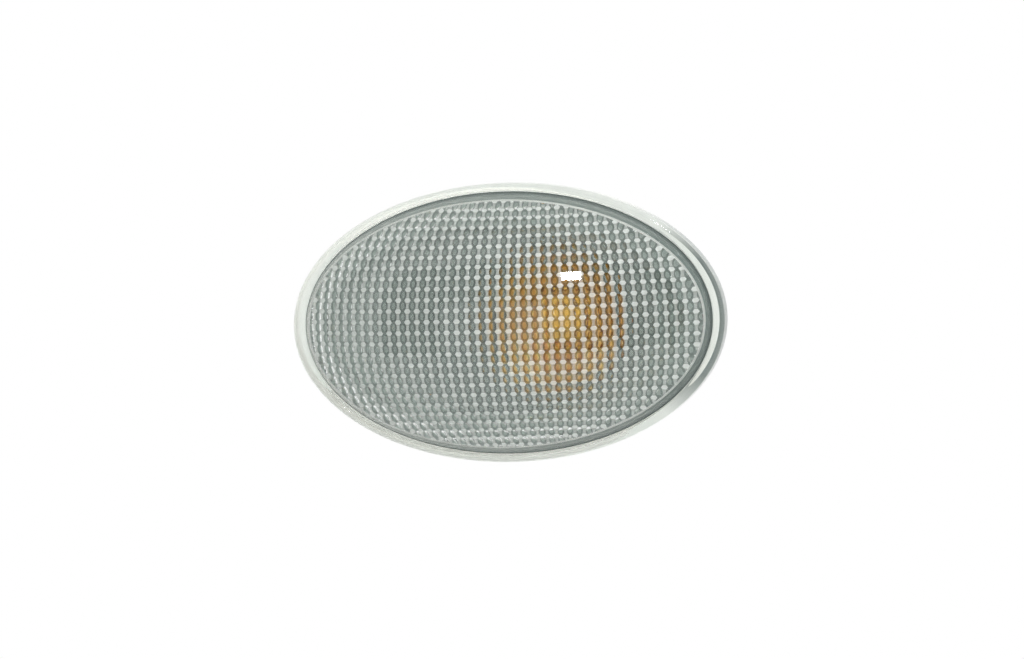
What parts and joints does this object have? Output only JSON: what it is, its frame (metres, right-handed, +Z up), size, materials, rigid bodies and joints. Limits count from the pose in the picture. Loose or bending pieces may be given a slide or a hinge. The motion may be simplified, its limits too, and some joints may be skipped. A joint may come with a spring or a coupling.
{
  "type": "side repeater lamp",
  "caption": "Oval side repeater lamp: clear pillowed lens over a silvered reflector, amber wedge bulb in a twist-lock holder, and a hook and spring clip to hold it in a wing.",
  "frame": {"origin": "centre of the oval hole in the wing, on the plane of the wing's outer skin, which is the gasket's rear face", "axes": "+X along the long axis of the oval, towards the end with the spring clip; +Y through the wing to the back of the lamp, so the lens faces -Y; +Z up"},
  "size_m": [0.088, 0.0533, 0.056],
  "materials": {
    "clear_lens": "clear injection-moulded plastic, polished outside, pillow optics inside",
    "sealant": "milky cured sealant",
    "pale_housing": "pale grey moulded plastic",
    "silvered_reflector": "vacuum-metallised plastic",
    "black_rubber": "moulded rubber",
    "spring_steel": "rolled spring steel strip",
    "black_holder": "black moulded nylon",
    "contact_brass": "stamped brass strip",
    "amber_glass": "amber-coated bulb glass",
    "lead_wire": "plated wire",
    "filament_wire": "coiled tungsten wire"
  },
  "bodies": {
    "lamp_body": {"lens": "clear_lens", "lens_sealant": "sealant", "housing": "pale_housing", "reflector": "silvered_reflector", "panel_gasket": "black_rubber", "spring_clip": "spring_steel"},
    "bulb_holder_body": {"bulb_holder": "black_holder", "holder_seal": "black_rubber", "contact_left": "contact_brass", "contact_right": "contact_brass", "bulb_glass": "amber_glass", "bulb_lead_left": "lead_wire", "bulb_lead_right": "lead_wire", "filament": "filament_wire"}
  },
  "joints": [
    {"name": "bulb_holder_twist", "type": "hinge", "parent": "lamp_body", "child": "bulb_holder_body", "pos_m": [0.011, 0.013, 0], "axis": [0, -1, 0], "range_deg": [0, 45]}
  ]
}
